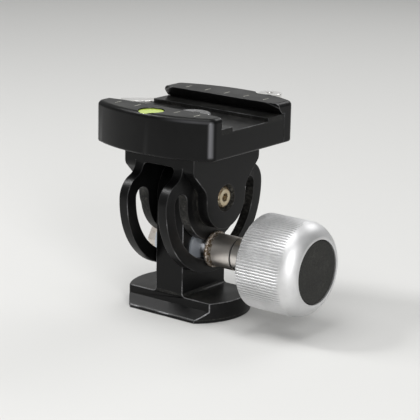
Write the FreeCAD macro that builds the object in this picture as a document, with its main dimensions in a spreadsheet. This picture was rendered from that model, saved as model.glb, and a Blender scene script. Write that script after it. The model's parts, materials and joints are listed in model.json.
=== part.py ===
import FreeCAD
import Part
import math
import os
import Sketcher

# Pan tilt head for a monopod or tripod, with a lever clamp for dovetail plates.
# Millimetres. The origin is the centre of the base's bottom face, +Z is up,
# +X points along the lock knob's shaft and -Y is the front.

Vector = FreeCAD.Vector
Rotation = FreeCAD.Rotation

ALONG_X = Rotation(Vector(0, 1, 0), 90)
ALONG_Y = Rotation(Vector(1, 0, 0), -90)
ALONG_Z = Rotation()
BACK_X = Rotation(Vector(0, 1, 0), -90)
BACK_Y = Rotation(Vector(1, 0, 0), 90)

# Driving sizes, grouped by the piece that they belong to.
SIZES = {
    # Clearances that the fitted pieces share
    "run_gap": 0.1,            # between flat faces that slide on each other
    "fit_gap": 0.06,           # round a shaft that turns or slides in its hole
    "press_gap": 0.02,         # round a pin that is pressed or screwed in
    "clear_gap": 0.4,          # between pieces that pass without touching
    "seam_gap": 0.25,          # the seam between the clamp body and the movable jaw
    # Dovetail base and stem
    "base_radius": 25.4,
    "base_half_width": 19.05,
    "rim_height": 1.35,
    "slope_top": 4.7,
    "plate_top": 8.25,
    "stem_half_width": 14.3,
    "stem_half_thick": 6.9,
    "stem_root_round": 1.5,
    "pivot_height": 49.2,
    "tripod_bore": 4.0,
    "tripod_depth": 11.0,
    # Pivot: bushings, axle and screws
    "axle_radius": 4.0,
    "axle_hole": 2.0,
    "bushing_wall": 1.9,
    "bushing_flange": 8.5,
    "bushing_split": 0.4,      # half the gap between the two bushings
    "friction_thick": 0.8,
    "friction_radius": 10.2,
    "screw_head_radius": 4.7,
    "screw_head_height": 2.5,
    "screw_head_round": 1.6,
    "screw_shank": 8.0,
    "pivot_socket": 1.5,       # half the hex socket's width across its flats
    "pivot_socket_depth": 1.5,
    # Yoke: platform, slotted side plates and pivot bosses
    "plate_thick": 4.3,
    "plate_radius": 32.0,
    "slot_inset": 9.5,         # from the plates' round edge to the middle of the slots
    "swing_radius": "=plate_radius - slot_inset",  # from the tilt pivot to the lock shaft
    "slot_clear": 0.5,
    "stop_rise": 0.5,          # how far the slot's ends stand above the pivot
    "neck_round": 6.0,
    "ear_thick": 5.6,
    "ear_clear": 2.2,          # from the ears' round ends to the lock washer
    "ear_radius": "=swing_radius - lock_washer_radius - ear_clear",
    "ear_neck_rise": 3.9,
    "ear_shoulder_rise": 13.0,
    "ear_neck_round": 6.0,
    "ear_shoulder_round": 4.0,
    "recess_radius": 5.6,
    "recess_depth": 3.3,
    "block_half_depth": 22.0,
    "block_thick": 6.0,
    "stem_clear": 0.5,
    "gap_round": 2.0,
    "edge_break": 0.5,
    # Clamp: channel, fixed jaw and movable jaw
    "clamp_half_length": 29.7,
    "clamp_height": 17.0,
    "near_depth": 33.2,
    "near_arc": 62.0,
    "far_depth": 34.7,
    "far_arc": 65.0,
    "corner_round": 4.0,
    "far_corner_round": 3.0,
    "top_round": 2.0,
    "bottom_round": 1.0,
    "seam_depth": 21.8,
    "lip_depth": 18.4,
    "far_lip_depth": 16.4,
    "root_depth": 20.3,
    "lip_drop": 4.6,
    "floor_drop": 6.3,
    "floor_near_depth": 13.1,
    "floor_far_depth": 10.8,
    "far_ledge_drop": 4.8,
    "flare_start": 21.0,
    "flare_depth": 20.0,
    "far_flare_start": 24.0,
    "far_flare_depth": 18.2,
    "mount_screw_radius": 3.0,
    "mount_head_radius": 7.1,
    "mount_head_height": 3.0,
    "mount_head_top": 5.1,     # below the jaws' top
    "mount_socket": 2.5,
    "mount_socket_depth": 2.0,
    "mount_shank": 14.0,
    "dowel_radius": 1.5,
    "dowel_length": 7.0,
    "dowel_spread": 15.5,
    # Round bubble level in the fixed jaw
    "level_radius": 5.3,
    "level_place": 27.2,
    "level_depth": 7.0,
    "level_sink": 0.5,
    "level_wall": 0.5,
    "level_floor": 1.0,
    "window_thick": 0.8,
    # Lever, cam and the rod that pulls the movable jaw in
    "hub_x": 11.7,
    "hub_y": 36.7,
    "hub_radius": 4.8,
    "hub_drop": 0.5,
    "cam_radius": 7.0,
    "cam_offset": 2.4,
    "cam_play": 0.5,
    "jaw_travel": 1.5,
    "lever_bottom": 4.2,       # above the clamp's bottom
    "lever_thick": 5.8,
    "arm_inset": 0.4,
    "arm_width": 4.5,
    "arm_straight": 24.0,
    "arm_end_inset": 2.0,
    "tab_gap": 0.9,
    "tab_heel": 1.2,
    "tab_reach": 15.6,
    "tab_drop": 17.5,
    "tab_slant": 4.3,
    "tab_width": 4.9,
    "tab_round": 1.6,
    "pin_radius": 1.5,
    "rod_radius": 2.0,
    "rod_start": 8.0,
    "eye_radius": 3.8,
    "eye_thick": 2.2,
    "eye_half_width": 1.7,
    "guide_radius": 2.5,
    "guide_spread": 17.0,
    "guide_start": 9.0,
    "guide_in_jaw": 3.0,
    "spring_radius": 1.9,
    "spring_wire": 0.3,
    "spring_spread": 23.5,
    "spring_pocket": 9.0,
    "spring_turns": 5,
    # Lock: shaft, nut, sleeve and knob
    "shaft_radius": 3.4,
    "shaft_left": 18.5,
    "lock_washer_radius": 7.4,
    "lock_washer_thick": 1.1,
    "nut_half_flats": 5.5,
    "nut_height": 4.8,
    "stop_head_radius": 4.6,
    "stop_head_height": 2.5,
    "stop_shank_radius": 1.5,
    "stop_shank": 8.0,
    "sleeve_radius": 6.93,
    "sleeve_flange": 7.6,
    "sleeve_flange_thick": 1.3,
    "sleeve_end": 24.5,
    "thrust_radius": 6.5,
    "thrust_thick": 0.7,
    "knob_start": 36.5,
    "knob_radius": 19.4,
    "knob_band": 18.6,
    "knob_length": 26.55,
    "knob_face_radius": 14.2,
    "knob_round": 8.6,
    "knob_back_break": 0.8,
    "knob_travel": 1.25,       # the thread's pitch, for one turn of the knob
    "flute_count": 100,
    "flute_depth": 0.4,
    "flute_share": 0.6,
    "cap_radius": 13.2,
    "cap_thick": 2.2,
    "cap_sink": 0.3,
    "cavity_radius": 6.5,
    "insert_radius": 9.0,
    "insert_length": 13.0,
}

doc = FreeCAD.newDocument("pan_tilt_head")
sheet = doc.addObject("Spreadsheet::Sheet", "dims")


def fill_sheet():
    for row, (name, value) in enumerate(SIZES.items(), start=1):
        sheet.set("A%d" % row, name)
        sheet.set("B%d" % row, str(value))
        sheet.setAlias("B%d" % row, name)
    doc.recompute()


def full(text):
    """The expression with each size's name led by the sheet's."""
    words = []
    word = ""
    for letter in text + " ":
        if letter.isalnum() or letter == "_":
            word += letter
            continue
        words.append("dims." + word if word in SIZES else word)
        words.append(letter)
        word = ""
    return "".join(words).strip()


def number(text):
    value = sheet.evalExpression(full(text))
    return float(getattr(value, "Value", value))


# Places and sizes that follow from the driving sizes
LOCK_HEIGHT = "(pivot_height - swing_radius)"
PLATE_IN = "(stem_half_thick + friction_thick + run_gap)"
PLATE_OUT = "(%s + plate_thick)" % PLATE_IN
EAR_OUT = "(%s + ear_thick)" % PLATE_OUT
EAR_SEAT = "(%s - recess_depth)" % EAR_OUT
SLOT_HALF = "(shaft_radius + slot_clear)"
BLOCK_UNDER = "(pivot_height + stem_half_width + stem_clear)"
CLAMP_BOTTOM = "(%s + block_thick)" % BLOCK_UNDER
CLAMP_TOP = "(%s + clamp_height)" % CLAMP_BOTTOM
LEVER_LOW = "(%s + lever_bottom)" % CLAMP_BOTTOM
LEVER_HIGH = "(%s + lever_thick)" % LEVER_LOW
ROD_HEIGHT = "(%s + lever_thick / 2)" % LEVER_LOW
JAW_FACE = "(seam_depth + seam_gap)"
CAM_WALL = "(hub_y - cam_offset - cam_radius - cam_play)"
ARM_OUT = "(far_arc - arm_inset)"
ARM_IN = "(far_arc - arm_inset - arm_width)"
ARM_SLOT = "(far_arc - arm_inset - arm_width - clear_gap)"
FAR_CENTRE = "(far_depth - far_arc)"
KNOB_FACE = "(knob_start + knob_length)"
SHAFT_END = "(knob_start + insert_length + knob_travel + clear_gap)"
NECK_START = "(sleeve_end + run_gap / 2 + thrust_thick + run_gap / 2)"


# Helpers for bodies, sketches and features

def new_body(label, z="0"):
    body = doc.addObject("PartDesign::Body", label)
    body.Label = label
    body.setExpression("Placement.Base.z", full(z))
    return body


def origin_plane(body, role):
    for feature in body.Origin.OriginFeatures:
        if feature.Role == role:
            return feature
    raise ValueError("no such plane: " + role)


def arc_middle(start, end, radius, turn):
    """Middle of the short arc from start to end, turn +1 anticlockwise, -1 clockwise."""
    chord = end - start
    height = radius - math.sqrt(max(radius * radius - chord.Length * chord.Length / 4, 0))
    side = Vector(chord.y, -chord.x, 0).normalize()
    return (start + end) * 0.5 + side * height * turn


def end_at(sketch, edge, point):
    """Which end of a sketch edge lies at the point: 1 is its start, 2 its end."""
    return min((1, 2), key=lambda end: (sketch.getPoint(edge, end) - point).Length)


def bind(sketch, kind, name, text, *where):
    index = sketch.addConstraint(Sketcher.Constraint(kind, *where, number(text)))
    sketch.renameConstraint(index, name)
    sketch.setExpression("Constraints." + name, full(text))


def draw_loop(sketch, points):
    """A closed outline. Each point is (x, y) or (x, y, radius, turn) when an arc leaves it."""
    first = sketch.GeometryCount
    corners = [Vector(number(point[0]), number(point[1]), 0) for point in points]
    count = len(points)
    for index, point in enumerate(points):
        start = corners[index]
        end = corners[(index + 1) % count]
        if len(point) == 4:
            middle = arc_middle(start, end, number(point[2]), point[3])
            sketch.addGeometry(Part.Arc(start, middle, end), False)
        else:
            sketch.addGeometry(Part.LineSegment(start, end), False)
    for index, point in enumerate(points):
        edge = first + index
        before = first + (index - 1) % count
        corner = corners[index]
        here = end_at(sketch, edge, corner)
        there = end_at(sketch, before, corner)
        sketch.addConstraint(Sketcher.Constraint("Coincident", before, there, edge, here))
        bind(sketch, "DistanceX", "x%d" % edge, point[0], -1, 1, edge, here)
        bind(sketch, "DistanceY", "y%d" % edge, point[1], -1, 1, edge, here)
    for index, point in enumerate(points):
        if len(point) == 4:
            edge = first + index
            bind(sketch, "Radius", "r%d" % edge, point[2], edge)


def draw_circle(sketch, x, y, radius):
    centre = Vector(number(x), number(y), 0)
    edge = sketch.addGeometry(Part.Circle(centre, Vector(0, 0, 1), number(radius)), False)
    bind(sketch, "DistanceX", "x%d" % edge, x, -1, 1, edge, 3)
    bind(sketch, "DistanceY", "y%d" % edge, y, -1, 1, edge, 3)
    bind(sketch, "Radius", "r%d" % edge, radius, edge)


def new_sketch(body, plane, loops=(), circles=(), offset="0"):
    sketch = body.newObject("Sketcher::SketchObject", body.Label + "_sketch")
    sketch.AttachmentSupport = [(origin_plane(body, plane), "")]
    sketch.MapMode = "FlatFace"
    sketch.setExpression("AttachmentOffset.Base.z", full(offset))
    for loop in loops:
        draw_loop(sketch, loop)
    for circle in circles:
        draw_circle(sketch, *circle)
    doc.recompute()
    return sketch


def pad(body, sketch, length, symmetric=False):
    feature = body.newObject("PartDesign::Pad", body.Label + "_pad")
    feature.Profile = sketch
    feature.SideType = "Symmetric" if symmetric else "One side"
    feature.setExpression("Length", full(length))
    doc.recompute()


def pocket(body, sketch, length, symmetric=False):
    """Cuts the sketch's outline, along the sketch's normal unless symmetric."""
    before = body.Shape.Volume
    feature = body.newObject("PartDesign::Pocket", body.Label + "_pocket")
    feature.Profile = sketch
    feature.SideType = "Symmetric" if symmetric else "One side"
    feature.Reversed = True
    feature.setExpression("Length", full(length))
    doc.recompute()
    if body.Shape.Volume >= before:
        raise ValueError("pocket cuts nothing: " + feature.Label)
    return feature


def turned(body, loop):
    """Turns an outline of (x, radius) points about the X axis at the body's height."""
    sketch = new_sketch(body, "XZ_Plane", [loop])
    feature = body.newObject("PartDesign::Revolution", body.Label + "_turned")
    feature.Profile = sketch
    feature.ReferenceAxis = (sketch, ["H_Axis"])
    feature.Angle = 360
    doc.recompute()


def rod(body, radius, length, x="0", y="0", z="0", way=ALONG_Z, cut=False):
    """A round bar, or a round hole when cut, from the point (x, y, z) along way."""
    kind = "PartDesign::SubtractiveCylinder" if cut else "PartDesign::AdditiveCylinder"
    feature = body.newObject(kind, body.Label + ("_bore" if cut else "_rod"))
    feature.setExpression("Radius", full(radius))
    feature.setExpression("Height", full(length))
    feature.Placement = FreeCAD.Placement(Vector(), way)
    feature.setExpression("Placement.Base.x", full(x))
    feature.setExpression("Placement.Base.y", full(y))
    feature.setExpression("Placement.Base.z", full(z))
    doc.recompute()


def soften(body, kind, size, wanted):
    """Rounds or chamfers the edges of the body's tip that wanted() picks."""
    tip = body.Tip
    names = []
    for index, edge in enumerate(tip.Shape.Edges, start=1):
        if wanted(edge):
            names.append("Edge%d" % index)
    if not names:
        raise ValueError("no edge to soften on " + body.Label)
    feature = body.newObject("PartDesign::" + kind, body.Label + "_" + kind.lower())
    feature.Base = (tip, names)
    feature.setExpression("Radius" if kind == "Fillet" else "Size", full(size))
    doc.recompute()


def is_upright(edge):
    ends = edge.Vertexes
    if len(ends) != 2:
        return False
    way = ends[1].Point - ends[0].Point
    return way.Length > 0.5 and abs(way.z) > 0.999 * way.Length


def near(value, target):
    return abs(value - target) < 1e-4


def rectangle(left, low, right, high):
    return [(left, low), (right, low), (right, high), (left, high)]


def hexagon(x, y, half_flats):
    """Six corners, with two flats square to the sketch's second axis."""
    points = []
    for corner in range(6):
        angle = 60 * corner
        points.append((
            "%s + %s / cos(30) * cos(%d)" % (x, half_flats, angle),
            "%s + %s / cos(30) * sin(%d)" % (y, half_flats, angle),
        ))
    return points


def ring(label, z, start, thick, outer, inner):
    """A flat washer on the X axis at height z, from start to start + thick."""
    body = new_body(label, z)
    turned(body, rectangle(start, inner, "%s + %s" % (start, thick), outer))
    return body


# Base and stem

def make_base_stem():
    body = new_body("base_stem")
    dovetail = [
        ("-base_half_width", "0"), ("base_half_width", "0"),
        ("base_half_width", "rim_height"), ("stem_half_width", "slope_top"),
        ("stem_half_width", "plate_top"), ("-stem_half_width", "plate_top"),
        ("-stem_half_width", "slope_top"), ("-base_half_width", "rim_height"),
    ]
    pad(body, new_sketch(body, "YZ_Plane", [dovetail]), "2 * base_radius", True)
    frame = rectangle("-2 * base_radius", "-2 * base_radius", "2 * base_radius", "2 * base_radius")
    disc = new_sketch(body, "XY_Plane", [frame], [("0", "0", "base_radius")])
    pocket(body, disc, "plate_top")
    stem = [
        ("-stem_half_width", "plate_top / 2"), ("stem_half_width", "plate_top / 2"),
        ("stem_half_width", "pivot_height", "stem_half_width", 1),
        ("0", "pivot_height + stem_half_width", "stem_half_width", 1),
        ("-stem_half_width", "pivot_height"),
    ]
    pad(body, new_sketch(body, "YZ_Plane", [stem]), "2 * stem_half_thick", True)
    top = number("plate_top")
    thick = number("stem_half_thick")
    soften(body, "Fillet", "stem_root_round",
           lambda edge: near(edge.BoundBox.ZMin, top) and near(edge.BoundBox.ZMax, top)
           and near(abs(edge.BoundBox.XMin), thick) and near(abs(edge.BoundBox.XMax), thick)
           and edge.Length > 1)
    rod(body, "axle_radius + fit_gap + bushing_wall", "2 * stem_half_thick",
        "-stem_half_thick", "0", "pivot_height", ALONG_X, cut=True)
    rod(body, "shaft_radius + press_gap", "2 * stem_half_thick",
        "-stem_half_thick", "0", LOCK_HEIGHT, ALONG_X, cut=True)
    rod(body, "tripod_bore", "tripod_depth", cut=True)


def make_bushing(label, way):
    """A flanged bushing pressed into one side of the stem; way is +1 right, -1 left."""
    body = new_body(label, "pivot_height")
    flip = "%d * " % way
    outer = "axle_radius + fit_gap + bushing_wall - press_gap"
    inner = "axle_radius + fit_gap"
    profile = [
        (flip + "bushing_split", inner),
        (flip + "(stem_half_thick + friction_thick)", inner),
        (flip + "(stem_half_thick + friction_thick)", "bushing_flange"),
        (flip + "stem_half_thick", "bushing_flange"),
        (flip + "stem_half_thick", outer),
        (flip + "bushing_split", outer),
    ]
    turned(body, profile)


def make_friction_washers():
    hole = "shaft_radius + press_gap"
    ring("friction_washer_right", LOCK_HEIGHT, "stem_half_thick", "friction_thick",
         "friction_radius", hole)
    ring("friction_washer_left", LOCK_HEIGHT, "-stem_half_thick - friction_thick",
         "friction_thick", "friction_radius", hole)


# Lock: shaft, nut, sleeve and knob

def make_lock_shaft():
    body = new_body("lock_shaft", LOCK_HEIGHT)
    rod(body, "shaft_radius", "%s + shaft_left" % SHAFT_END, "-shaft_left", way=ALONG_X)
    rod(body, "stop_shank_radius + press_gap", "stop_shank + clear_gap",
        "%s - stop_shank - clear_gap" % SHAFT_END, way=ALONG_X, cut=True)
    soften(body, "Chamfer", "edge_break",
           lambda edge: near(edge.BoundBox.XMin, number("-shaft_left")) and near(
               edge.BoundBox.XMax, number("-shaft_left")))


def make_lock_nut():
    ring("lock_washer", LOCK_HEIGHT, "-(%s + run_gap + lock_washer_thick)" % PLATE_OUT,
         "lock_washer_thick", "lock_washer_radius", "shaft_radius + press_gap")
    body = new_body("lock_nut", LOCK_HEIGHT)
    nut_right = "-(%s + run_gap + lock_washer_thick)" % PLATE_OUT
    outline = new_sketch(body, "YZ_Plane", [hexagon("0", "0", "nut_half_flats")],
                         [("0", "0", "shaft_radius + press_gap")], nut_right + " - nut_height")
    pad(body, outline, "nut_height")


def make_stop_screw():
    body = new_body("shaft_stop_screw", LOCK_HEIGHT)
    rod(body, "stop_head_radius", "stop_head_height", SHAFT_END, way=ALONG_X)
    rod(body, "stop_shank_radius", "stop_shank", "%s - stop_shank" % SHAFT_END, way=ALONG_X)
    outer = number("%s + stop_head_height" % SHAFT_END)
    soften(body, "Fillet", "stop_head_height / 3", lambda edge: near(edge.BoundBox.XMin, outer))


def make_sleeve():
    body = new_body("lock_sleeve", LOCK_HEIGHT)
    start = "%s + run_gap" % PLATE_OUT
    bore = "shaft_radius + fit_gap"
    profile = [
        (start, bore), ("sleeve_end", bore), ("sleeve_end", "sleeve_radius"),
        (start + " + sleeve_flange_thick", "sleeve_radius"),
        (start + " + sleeve_flange_thick", "sleeve_flange"), (start, "sleeve_flange"),
    ]
    turned(body, profile)
    soften(body, "Fillet", "sleeve_flange_thick / 3",
           lambda edge: near(edge.Length, 2 * math.pi * number("sleeve_flange")))
    ring("thrust_washer", LOCK_HEIGHT, "sleeve_end + run_gap / 2", "thrust_thick",
         "thrust_radius", "shaft_radius + fit_gap")


def make_knob_insert():
    body = new_body("knob_insert", LOCK_HEIGHT)
    bore = "shaft_radius + fit_gap"
    profile = [
        (NECK_START, bore), ("knob_start + insert_length", bore),
        ("knob_start + insert_length", "insert_radius"), ("knob_start", "insert_radius"),
        ("knob_start", "sleeve_radius"), (NECK_START, "sleeve_radius"),
    ]
    turned(body, profile)


def make_knob_shell():
    body = new_body("knob_shell", LOCK_HEIGHT)
    cap_floor = "(%s - cap_sink - cap_thick)" % KNOB_FACE
    profile = [
        ("knob_start", "insert_radius + press_gap"),
        ("knob_start + insert_length", "insert_radius + press_gap"),
        ("knob_start + insert_length", "cavity_radius"),
        (cap_floor, "cavity_radius"), (cap_floor, "cap_radius + press_gap"),
        (KNOB_FACE, "cap_radius + press_gap"), (KNOB_FACE, "knob_face_radius", "knob_round", 1),
        ("knob_start + knob_band", "knob_radius"),
        ("knob_start + knob_back_break", "knob_radius"),
        ("knob_start", "knob_radius - knob_back_break"),
    ]
    turned(body, profile)
    wide = "(pi / flute_count * flute_share * knob_radius)"
    flute = [(wide, "knob_radius + flute_depth"), ("-" + wide, "knob_radius + flute_depth"),
             ("-" + wide, "knob_radius"), ("0", "knob_radius - flute_depth"), (wide, "knob_radius")]
    sketch = new_sketch(body, "YZ_Plane", [flute], offset="knob_start")
    cut = pocket(body, sketch, "knob_length")
    pattern = body.newObject("PartDesign::PolarPattern", "knob_flutes")
    pattern.Originals = [cut]
    pattern.Axis = (origin_plane(body, "X_Axis"), [""])
    pattern.Angle = 360
    pattern.setExpression("Occurrences", full("flute_count"))
    body.Tip = pattern
    doc.recompute()


def make_knob_cap():
    body = new_body("knob_cap", LOCK_HEIGHT)
    rod(body, "cap_radius", "cap_thick", "%s - cap_sink - cap_thick" % KNOB_FACE, way=ALONG_X)
    soften(body, "Chamfer", "edge_break",
           lambda edge: near(edge.BoundBox.XMin, number("%s - cap_sink" % KNOB_FACE)))


# Pivot axle and its screws

def make_axle():
    body = new_body("pivot_axle", "pivot_height")
    rod(body, "axle_radius", "2 * (%s - run_gap / 2)" % EAR_SEAT, "-(%s - run_gap / 2)" % EAR_SEAT,
        way=ALONG_X)
    rod(body, "axle_hole + press_gap", "2 * %s" % EAR_SEAT, "-" + EAR_SEAT, way=ALONG_X, cut=True)


def make_pivot_screw(label, way):
    """A button head screw in one end of the axle; way is +1 right, -1 left."""
    body = new_body(label, "pivot_height")
    turn = ALONG_X if way > 0 else BACK_X
    flip = "%d * " % way
    rod(body, "screw_head_radius", "screw_head_height", flip + EAR_SEAT, way=turn)
    outer = number(flip + "(%s + screw_head_height)" % EAR_SEAT)
    soften(body, "Fillet", "screw_head_round",
           lambda edge: near(edge.BoundBox.XMin, outer) and near(edge.BoundBox.XMax, outer))
    rod(body, "axle_hole", "screw_shank", flip + "(%s - screw_shank)" % EAR_SEAT, way=turn)
    socket = new_sketch(body, "YZ_Plane", [hexagon("0", "0", "pivot_socket")], (),
                        flip + "(%s + screw_head_height)" % EAR_SEAT)
    pocket(body, socket, "2 * pivot_socket_depth", symmetric=True)


# Yoke

def make_yoke():
    body = new_body("yoke_frame")
    block = new_sketch(body, "XY_Plane", [rectangle(
        "-" + EAR_OUT, "-block_half_depth", EAR_OUT, "block_half_depth")], (), BLOCK_UNDER)
    pad(body, block, "block_thick")
    add_side_plates(body)
    add_ears(body)
    cut_stem_gap(body)
    cut_slots(body)
    cut_yoke_holes(body)


def mirrored(half):
    """The other half of an outline: its points at -x, back to the first one."""
    return [("-(%s)" % half[index][0], half[index][1]) + half[index - 1][2:]
            for index in range(len(half) - 1, 0, -1)]


def add_side_plates(body):
    end_radius = "(plate_radius - swing_radius)"
    end_z = "(pivot_height + stop_rise)"
    end_y = "sqrt(swing_radius ^ 2 - stop_rise ^ 2)"
    neck_y = "(block_half_depth + neck_round)"
    reach = "(%s + neck_round)" % end_radius
    neck_z = "(%s + sqrt(%s ^ 2 - (%s - %s) ^ 2))" % (end_z, reach, neck_y, end_y)
    share = "(%s / %s)" % (end_radius, reach)
    meet_y = "(%s + (%s - %s) * %s)" % (end_y, neck_y, end_y, share)
    meet_z = "(%s + (%s - %s) * %s)" % (end_z, neck_z, end_z, share)
    outer_y = "(%s * plate_radius / swing_radius)" % end_y
    outer_z = "(pivot_height + stop_rise * plate_radius / swing_radius)"
    half = [
        ("0", "pivot_height - plate_radius", "plate_radius", 1),
        (outer_y, outer_z, end_radius, 1),
        (meet_y, meet_z, "neck_round", -1),
        ("block_half_depth", neck_z),
        ("block_half_depth", "%s + block_thick / 2" % BLOCK_UNDER),
    ]
    sketch = new_sketch(body, "YZ_Plane", [half + mirrored(half)])
    pad(body, sketch, "2 * " + PLATE_OUT, True)


def add_ears(body):
    wide = "(block_half_depth - ear_radius)"
    rise = "(ear_shoulder_rise - ear_neck_rise)"
    slant = "sqrt(%s ^ 2 + %s ^ 2)" % (wide, rise)
    turn = "(%s / (%s + %s))" % (wide, slant, rise)
    neck = "ear_neck_round * " + turn
    shoulder = "ear_shoulder_round * " + turn
    neck_z = "(pivot_height + ear_neck_rise)"
    shoulder_z = "(pivot_height + ear_shoulder_rise)"
    half = [
        ("0", "pivot_height - ear_radius", "ear_radius", 1),
        ("ear_radius", "pivot_height"),
        ("ear_radius", "%s - %s" % (neck_z, neck), "ear_neck_round", -1),
        ("ear_radius + %s * %s / %s" % (neck, wide, slant),
         "%s + %s * %s / %s" % (neck_z, neck, rise, slant)),
        ("block_half_depth - %s * %s / %s" % (shoulder, wide, slant),
         "%s - %s * %s / %s" % (shoulder_z, shoulder, rise, slant), "ear_shoulder_round", 1),
        ("block_half_depth", "%s + %s" % (shoulder_z, shoulder)),
        ("block_half_depth", "%s + block_thick / 2" % BLOCK_UNDER),
    ]
    sketch = new_sketch(body, "YZ_Plane", [half + mirrored(half)])
    pad(body, sketch, "2 * " + EAR_OUT, True)


def cut_stem_gap(body):
    opening = [
        ("-" + PLATE_IN, "pivot_height - 2 * plate_radius"),
        (PLATE_IN, "pivot_height - 2 * plate_radius"),
        (PLATE_IN, BLOCK_UNDER + " - gap_round", "gap_round", 1),
        (PLATE_IN + " - gap_round", BLOCK_UNDER),
        ("-(%s - gap_round)" % PLATE_IN, BLOCK_UNDER, "gap_round", 1),
        ("-" + PLATE_IN, BLOCK_UNDER + " - gap_round"),
    ]
    sketch = new_sketch(body, "XZ_Plane", [opening])
    pocket(body, sketch, "4 * plate_radius", symmetric=True)


def cut_slots(body):
    end_y = "sqrt(swing_radius ^ 2 - stop_rise ^ 2)"
    end_z = "stop_rise"

    def at(radius, turn=0):
        """A point at the slot's end, at a radius from the pivot, or past the end when turn."""
        y = "(%s * %s / swing_radius - %s * %s / swing_radius * %d)" % (
            end_y, radius, end_z, SLOT_HALF, turn)
        z = "(pivot_height + %s * %s / swing_radius + %s * %s / swing_radius * %d)" % (
            end_z, radius, end_y, SLOT_HALF, turn)
        return y, z

    outer = "(swing_radius + %s)" % SLOT_HALF
    inner = "(swing_radius - %s)" % SLOT_HALF
    out_y, out_z = at(outer)
    tip_y, tip_z = at("swing_radius", 1)
    in_y, in_z = at(inner)
    outline = [
        ("0", "pivot_height - " + outer, outer, 1), (out_y, out_z, SLOT_HALF, 1),
        (tip_y, tip_z, SLOT_HALF, 1), (in_y, in_z, inner, -1),
        ("0", "pivot_height - " + inner, inner, -1), ("-" + in_y, in_z, SLOT_HALF, 1),
        ("-" + tip_y, tip_z, SLOT_HALF, 1), ("-" + out_y, out_z, outer, 1),
    ]
    sketch = new_sketch(body, "YZ_Plane", [outline])
    pocket(body, sketch, "4 * " + EAR_OUT, symmetric=True)


def cut_yoke_holes(body):
    rod(body, "axle_radius + press_gap", "2 * " + EAR_OUT, "-" + EAR_OUT, "0", "pivot_height",
        ALONG_X, cut=True)
    for start in ("-" + EAR_OUT, EAR_SEAT):
        rod(body, "recess_radius", "recess_depth", start, "0", "pivot_height", ALONG_X, cut=True)
    rod(body, "mount_screw_radius + press_gap", "block_thick", "0", "0", BLOCK_UNDER, cut=True)
    for way in ("", "-"):
        rod(body, "dowel_radius + press_gap", "dowel_length / 2 + press_gap", "0",
            way + "dowel_spread", "%s - dowel_length / 2 - press_gap" % CLAMP_BOTTOM, cut=True)


# Clamp body with the fixed jaw

def end_rise(arc):
    """How far an arc of the clamp's outline falls back at the clamp's ends."""
    return "(%s - sqrt(%s ^ 2 - clamp_half_length ^ 2))" % (arc, arc)


def round_outline(body, top_back, low_back):
    """Rounds the outline's top and bottom edges, all but the straight ones at the back."""
    for level, size, back in ((CLAMP_TOP, "top_round", top_back),
                              (CLAMP_BOTTOM, "bottom_round", low_back)):
        height = number(level)
        flat = number(back)
        soften(body, "Fillet", size,
               lambda edge: near(edge.BoundBox.ZMin, height) and near(edge.BoundBox.ZMax, height)
               and not (near(edge.BoundBox.YMin, flat) and near(edge.BoundBox.YMax, flat)))


def make_clamp_body():
    body = new_body("clamp_body")
    corner_y = "-(near_depth - %s)" % end_rise("near_arc")
    outline = [
        ("-clamp_half_length", corner_y, "near_arc", 1), ("0", "-near_depth", "near_arc", 1),
        ("clamp_half_length", corner_y), ("clamp_half_length", "seam_depth"),
        ("-clamp_half_length", "seam_depth"),
    ]
    pad(body, new_sketch(body, "XY_Plane", [outline], (), CLAMP_BOTTOM), "clamp_height")
    soften(body, "Fillet", "corner_round",
           lambda edge: is_upright(edge) and edge.BoundBox.YMax < 0
           and not near(edge.BoundBox.XMin, 0))
    round_outline(body, "seam_depth", "seam_depth")
    channel = [
        ("-lip_depth", CLAMP_TOP), ("-root_depth", "%s - lip_drop" % CLAMP_TOP),
        ("-floor_near_depth", "%s - lip_drop" % CLAMP_TOP),
        ("-floor_near_depth", "%s - floor_drop" % CLAMP_TOP),
        ("floor_far_depth", "%s - floor_drop" % CLAMP_TOP),
        ("floor_far_depth", "%s - far_ledge_drop" % CLAMP_TOP),
        ("2 * seam_depth", "%s - far_ledge_drop" % CLAMP_TOP),
        ("2 * seam_depth", "%s + clamp_height" % CLAMP_TOP),
        ("-lip_depth", "%s + clamp_height" % CLAMP_TOP),
    ]
    pocket(body, new_sketch(body, "YZ_Plane", [channel]), "4 * clamp_half_length", symmetric=True)
    for way in ("", "-"):
        flare = [
            (way + "flare_start", "-lip_depth + lip_drop / 2"), (way + "flare_start", "-lip_depth"),
            (way + "clamp_half_length", "-flare_depth"),
            (way + "(clamp_half_length + corner_round)", "-flare_depth"),
            (way + "(clamp_half_length + corner_round)", "-lip_depth + lip_drop / 2"),
        ]
        pocket(body, new_sketch(body, "XY_Plane", [flare], (), "%s - lip_drop" % CLAMP_TOP),
               "2 * lip_drop")
    cut_clamp_holes(body)


def cut_clamp_holes(body):
    head_seat = "(%s - mount_head_top - mount_head_height)" % CLAMP_TOP
    rod(body, "mount_head_radius + clear_gap", "clamp_height", "0", "0", head_seat, cut=True)
    rod(body, "mount_screw_radius + clear_gap", "clamp_height", "0", "0", CLAMP_BOTTOM, cut=True)
    for way in ("", "-"):
        rod(body, "dowel_radius + press_gap", "dowel_length / 2 + press_gap", "0",
            way + "dowel_spread", CLAMP_BOTTOM, cut=True)
        rod(body, "guide_radius + fit_gap", "seam_depth", way + "guide_spread",
            "guide_start - jaw_travel - clear_gap", ROD_HEIGHT, ALONG_Y, cut=True)
        rod(body, "spring_radius + spring_wire + clear_gap", "seam_depth", way + "spring_spread",
            "seam_depth - spring_pocket", ROD_HEIGHT, ALONG_Y, cut=True)
    rod(body, "rod_radius + press_gap", "seam_depth", "hub_x", "rod_start", ROD_HEIGHT, ALONG_Y,
        cut=True)
    rod(body, "level_radius + press_gap", "level_depth", "0", "-level_place",
        "%s - level_depth" % CLAMP_TOP, cut=True)


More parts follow.
